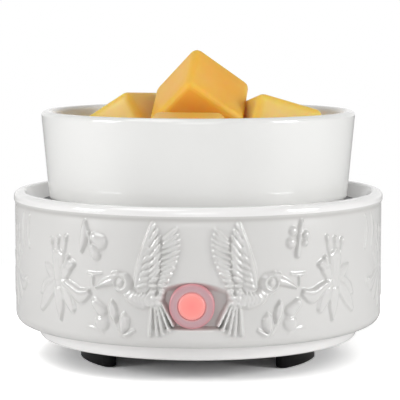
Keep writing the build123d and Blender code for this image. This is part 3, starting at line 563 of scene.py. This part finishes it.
# painted shade: a soft grey line under the bead
beadShadeLine = np.exp(-((up - base["bandTop"] + glazePoolAndShade["beadDrop"]) / glazePoolAndShade["beadWidth"]) ** 2)
pooling += glazePoolAndShade["underBead"] * beadShadeLine[:, None]
topClear, topRun = relief["topFade"]
belowBead = np.clip((base["bandTop"] - topClear - up) / topRun, 0, 1)
aboveFoot = np.clip((up - upStart) / relief["footFade"], 0, 1)
height *= belowBead[:, None] * aboveFoot[:, None]

# The wall dips a little under the rim's bead and then swells out into it.
blend = np.clip((up - base["bandTop"] + base["beadBlend"]) / base["beadBlend"], 0, 1)
swell = (base["beadRadius"] - base["wallRadius"] + base["beadLap"]) * blend * blend * (3 - 2 * blend)
coveMiddle = up - base["bandTop"] + base["coveDrop"] * base["beadBlend"]
dip = base["cove"] * np.exp(-(coveMiddle / base["beadBlend"]) ** 2)
height += (swell - dip * (1 - blend))[:, None]

# Rows under the wall: the rounded foot and the flat under it that meets the plinth.
footAngles = np.linspace(math.pi / 2, 0, base["footSteps"])[:-1]
footRows = [(base["wallRadius"] - base["footRound"] * (1 - math.cos(a)),
             upStart - base["footRound"] * math.sin(a)) for a in footAngles]
rowPlaces = [(radius, base["wallFoot"]) for radius in base["footFlat"]] + footRows
radii = np.vstack([np.repeat([[r] for r, z in rowPlaces], len(across), 1), base["wallRadius"] + height])
levels = np.concatenate([[z for r, z in rowPlaces], up])
hollow = np.vstack([np.zeros((len(rowPlaces), len(across))), pooling])


def wrapBand(name, columns):
    bpy.ops.object.select_all(action="DESELECT")
    bpy.ops.mesh.primitive_grid_add(x_subdivisions=len(columns) - 1, y_subdivisions=len(levels) - 1, size=1)
    band = bpy.context.object
    band.name = band.data.name = name
    flat = np.empty(len(band.data.vertices) * 3)
    band.data.vertices.foreach_get("co", flat)
    flat = flat.reshape(-1, 3)
    column = columns[np.rint((flat[:, 0] + 0.5) * (len(columns) - 1)).astype(int)]
    row = np.rint((flat[:, 1] + 0.5) * (len(levels) - 1)).astype(int)
    angle = across[column] / base["wallRadius"]
    reach = radii[row, column]
    grommetOff = np.hypot(base["wallRadius"] * np.sin(angle), levels[row] - base["inletHeight"])
    inInlet = (abs(angle) > base["rearRadians"]) & (grommetOff < base["inletSeatRadius"])
    reach = np.where(inInlet, base["inletSeat"] / -np.cos(np.where(inInlet, angle, math.pi)), reach)
    wrapped = np.stack([reach * np.sin(angle), -reach * np.cos(angle), levels[row]], 1) * mm
    band.data.vertices.foreach_set("co", wrapped.ravel())
    # the painted shade and glaze pooling mask goes to the material as a point attribute
    shade = band.data.attributes.new("pooling", "FLOAT", "POINT")
    shade.data.foreach_set("value", hollow[row, column])
    band.data.update()
    # the foot row is carried up and in, the top row in and down to it, and the two ends are closed
    bpy.ops.object.mode_set(mode="EDIT")
    bpy.ops.mesh.select_mode(type="EDGE")
    footRadius, footHeight = rowPlaces[0]
    lipHeight = footHeight + base["lipRise"]
    pickRing(band, footRadius, footHeight)
    bpy.ops.mesh.extrude_edges_move(TRANSFORM_OT_translate={"value": (0, 0, base["lipRise"] * mm)})
    bpy.ops.mesh.extrude_edges_move()
    grow = base["bandInner"] / footRadius
    bpy.ops.transform.resize(value=(grow, grow, 1), center_override=(0, 0, lipHeight * mm))
    topRadius = radii[-1, 0]
    pickRing(band, topRadius, base["bandTop"])
    bpy.ops.mesh.extrude_edges_move()
    grow = base["bandInner"] / topRadius
    bpy.ops.transform.resize(value=(grow, grow, 1), center_override=(0, 0, base["bandTop"] * mm))
    bpy.ops.mesh.extrude_edges_move(
        TRANSFORM_OT_translate={"value": (0, 0, (lipHeight - base["bandTop"]) * mm)})
    bpy.ops.mesh.select_all(action="SELECT")
    bpy.ops.mesh.remove_doubles(threshold=weldDistance)
    bpy.ops.mesh.fill_holes(sides=0)
    bpy.ops.mesh.select_all(action="SELECT")
    bpy.ops.mesh.normals_make_consistent(inside=False)
    bpy.ops.object.mode_set(mode="OBJECT")
    return band


slack = 1e-6
frontColumns = np.flatnonzero(abs(across) < frontReach + slack)
rearColumns = np.concatenate([np.flatnonzero(across > frontReach - slack),
                              np.flatnonzero(across < slack - frontReach)[1:]])
wallFront = wrapBand("housing_wall_front", frontColumns)
drillThrough(wallFront, base["barrelRadius"], button["height"], base["frontDrill"])
wallRear = wrapBand("housing_wall_rear", rearColumns)
drillThrough(wallRear, base["inletRadius"], base["inletHeight"], base["rearDrill"])
for wall in (wallFront, wallRear):
    bpy.ops.object.select_all(action="DESELECT")
    bpy.context.view_layer.objects.active = wall
    wall.select_set(True)
    bpy.ops.object.shade_smooth_by_angle(angle=math.radians(base["sharpDegrees"]))
    finishPiece(wall, "base", glazeWallShaded, "housing")
    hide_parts("wall_relief")
    print("relief band wrapped:", wall.name, len(wall.data.polygons), "faces")

# Loose dish: thick wall that opens slightly upwards, soft foot and rim, wide curve to the floor inside.
dish = {"profile": [(54.3, 56.8, 3.0), (57.3, 90.0, 1.7), (53.3, 90.0, 1.9), (50.75, 61.6, 12.0)],
        "sides": 192}
waxDish = turnPiece("dish_bowl", dish["profile"], dish["sides"], True)
evenShading(waxDish)
finishPiece(waxDish, "dish", glazeDishLit, "wax_dish")
print("dish turned")

# Wax cubes: cast blocks whose faces sank a little as they cooled, heaped in the dish.
wax = {"edge": 26.0, "rounding": 3.0, "roundSteps": 5, "cuts": 3, "sink": 0.3,
       "edgeLightShare": 0.85, "edgeLightReach": 1.0, "paintedGlowCubes": ("top", "front"),
       "turns": {"left": (-17, -26, -30), "right": (-16, 12, 20), "front": (7, 0, -3), "rear": (0, 0, -10),
                 "top": (34, 38, -6)}}
# The cubes in front and on top take a deeper orange copy of the wax, painted glow through them, and the
# others a
# paler copy, painted sheen: lit and shaded copies of one wax.
waxGlowCopy = castWax("cast paraffin wax, deeper glow copy", ("#ffb548", "#ffc25e"), "#f6c04a")


def castCube(name, turns):
    low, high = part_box("wax_cube_" + name)
    bpy.ops.object.select_all(action="DESELECT")
    bpy.ops.mesh.primitive_cube_add(size=wax["edge"] * mm)
    cube = bpy.context.object
    cube.name = cube.data.name = "wax_block_" + name
    bpy.ops.object.mode_set(mode="EDIT")
    bpy.ops.mesh.select_all(action="SELECT")
    bpy.ops.mesh.bevel(offset=wax["rounding"] * mm, segments=wax["roundSteps"], affect="EDGES")
    bpy.ops.mesh.select_all(action="SELECT")
    bpy.ops.mesh.subdivide(number_cuts=wax["cuts"], smoothness=0)
    bpy.ops.object.mode_set(mode="OBJECT")
    spots = np.empty(len(cube.data.vertices) * 3)
    cube.data.vertices.foreach_get("co", spots)
    spots = spots.reshape(-1, 3) / mm
    half = wax["edge"] / 2
    flatHalf = half - wax["rounding"]
    secondFurthest = np.sort(abs(spots), 1)[:, 1]
    nearEdge = np.clip((secondFurthest - flatHalf + wax["edgeLightReach"]) / wax["rounding"], 0, 1)
    # painted highlight: how far the golden edge colour reaches in from the rounded edges
    edgeLight = cube.data.attributes.new("edge", "FLOAT", "POINT")
    edgeLight.data.foreach_set("value", wax["edgeLightShare"] * nearEdge)
    for axis in range(3):
        others = [a for a in range(3) if a != axis]
        dip = np.prod([np.clip(1 - (spots[:, a] / flatHalf) ** 2, 0, 1) for a in others], 0)
        onFace = abs(spots[:, axis]) > half - 1e-3
        spots[:, axis] -= np.where(onFace, np.sign(spots[:, axis]) * wax["sink"] * dip, 0)
    cube.data.vertices.foreach_set("co", (spots * mm).ravel())
    place = Matrix.Translation((low + high) / 2)
    turn = Euler([math.radians(t) for t in turns], "ZYX").to_matrix().to_4x4()
    cube.data.transform(place @ turn)
    bpy.ops.object.shade_smooth()
    # the front and top cubes take the deeper copy with painted glow, the rest the paler copy with painted
    # sheen
    waxCopy = waxGlowCopy if name in wax["paintedGlowCubes"] else finishes["wax"]
    finishPiece(cube, "wax", waxCopy, "wax_cube_" + name)


for name, turns in wax["turns"].items():
    castCube(name, turns)
print("wax cubes cast")

# Floor, light and camera at the photograph's view. Two soft boxes stand far out to the sides, so that the
# relief's outer flanks catch them and its inner flanks fall grey; one hangs above to the left, and a weak
# one stands low in front. A lamp is (place, size, power) in metres and watts. The sky and what glazes
# mirror of it are (strength in front, strength behind, the heading at which it starts to change).
studio = {"floor": 6.0, "floorTone": 0.9, "floorSeen": 2.3, "white": (0.11, 0.26),
          "sky": (0.19, 0.36, -1.0), "mirrored": (0.3, 1.0, 0.6), "aim": (0, 0, 0.05),
          "lamps": [((-0.89, -0.38, 0.3), 0.34, 3.8), ((0.89, -0.38, 0.3), 0.34, 4.8),
                    ((-0.35, -0.3, 0.95), 0.5, 2.4), ((0.0, -1.1, 0.22), 0.5, 1.5)]}
bpy.ops.object.select_all(action="DESELECT")
bpy.ops.mesh.primitive_plane_add(size=studio["floor"])
floor = bpy.context.object
floor.name = "floor"
floorMaterial, tree, shader, place = startMaterial("pale card floor", {"Roughness": 0.9})
seen = addNode(tree, "ShaderNodeLightPath", {}, {}).outputs["Is Camera Ray"]
tone = addNode(tree, "ShaderNodeMix", {"data_type": "RGBA", 6: (studio["floorTone"],) * 3 + (1,),
                                       7: (studio["floorSeen"],) * 3 + (1,)}, {0: seen})
tree.links.new(tone.outputs[2], shader.inputs["Base Color"])
away = addNode(tree, "ShaderNodeVectorMath", {"operation": "LENGTH"}, {0: place})
whiteFrom, whiteTo = studio["white"]
far = addNode(tree, "ShaderNodeMapRange", {"interpolation_type": "SMOOTHSTEP", "From Min": whiteFrom,
                                           "From Max": whiteTo}, {"Value": away.outputs["Value"]})
share = addNode(tree, "ShaderNodeMath", {"operation": "MULTIPLY"}, {0: far.outputs["Result"], 1: seen})
backdrop = addNode(tree, "ShaderNodeEmission", {"Color": (1, 1, 1, 1)}, {})
blended = addNode(tree, "ShaderNodeMixShader", {}, {0: share.outputs["Value"], 1: shader.outputs["BSDF"],
                                                    2: backdrop.outputs["Emission"]})
tree.links.new(blended.outputs["Shader"], tree.nodes["Material Output"].inputs["Surface"])
floor.data.materials.append(floorMaterial)

world = bpy.data.worlds.new("studio")
bpy.context.scene.world = world
world.use_nodes = True
tree = world.node_tree
tree.nodes.clear()
light = addNode(tree, "ShaderNodeLightPath", {}, {})
outlook = addNode(tree, "ShaderNodeTexCoord", {}, {}).outputs["Generated"]
heading = addNode(tree, "ShaderNodeSeparateXYZ", {}, {"Vector": outlook})
strengths = []
for front, back, start in (studio["sky"], studio["mirrored"]):
    graded = addNode(tree, "ShaderNodeMapRange", {"From Min": start, "To Min": front, "To Max": back},
                     {"Value": heading.outputs["Y"]})
    strengths.append(graded.outputs["Result"])
mirrored = addNode(tree, "ShaderNodeMath", {"operation": "MAXIMUM"},
                   {0: light.outputs["Is Glossy Ray"], 1: light.outputs["Is Transmission Ray"]})
level = addNode(tree, "ShaderNodeMix", {}, {0: mirrored.outputs["Value"], 2: strengths[0], 3: strengths[1]})
level = addNode(tree, "ShaderNodeMix", {3: 1.0}, {0: light.outputs["Is Camera Ray"], 2: level.outputs[0]})
sky = addNode(tree, "ShaderNodeBackground", {"Color": (1, 1, 1, 1)}, {"Strength": level.outputs[0]})
addNode(tree, "ShaderNodeOutputWorld", {}, {"Surface": sky.outputs["Background"]})

for place, size, power in studio["lamps"]:
    bpy.ops.object.light_add(type="AREA", location=place)
    lamp = bpy.context.object
    lamp.data.shape = "SQUARE"
    lamp.data.size = size
    lamp.data.energy = power
    toObject = Vector(studio["aim"]) - Vector(place)
    lamp.rotation_euler = toObject.to_track_quat("-Z", "Y").to_euler()

photoView = {"lens": 159.5, "sensor": 36, "place": (0.02055, -0.6477, 0.1245), "dip": 5.96, "turn": 1.76}
tilt = math.radians(90 - photoView["dip"])
bpy.ops.object.camera_add(location=photoView["place"], rotation=(tilt, 0, math.radians(photoView["turn"])))
camera = bpy.context.object
camera.data.lens = photoView["lens"]
camera.data.sensor_width = photoView["sensor"]
bpy.context.scene.camera = camera
print("studio set")
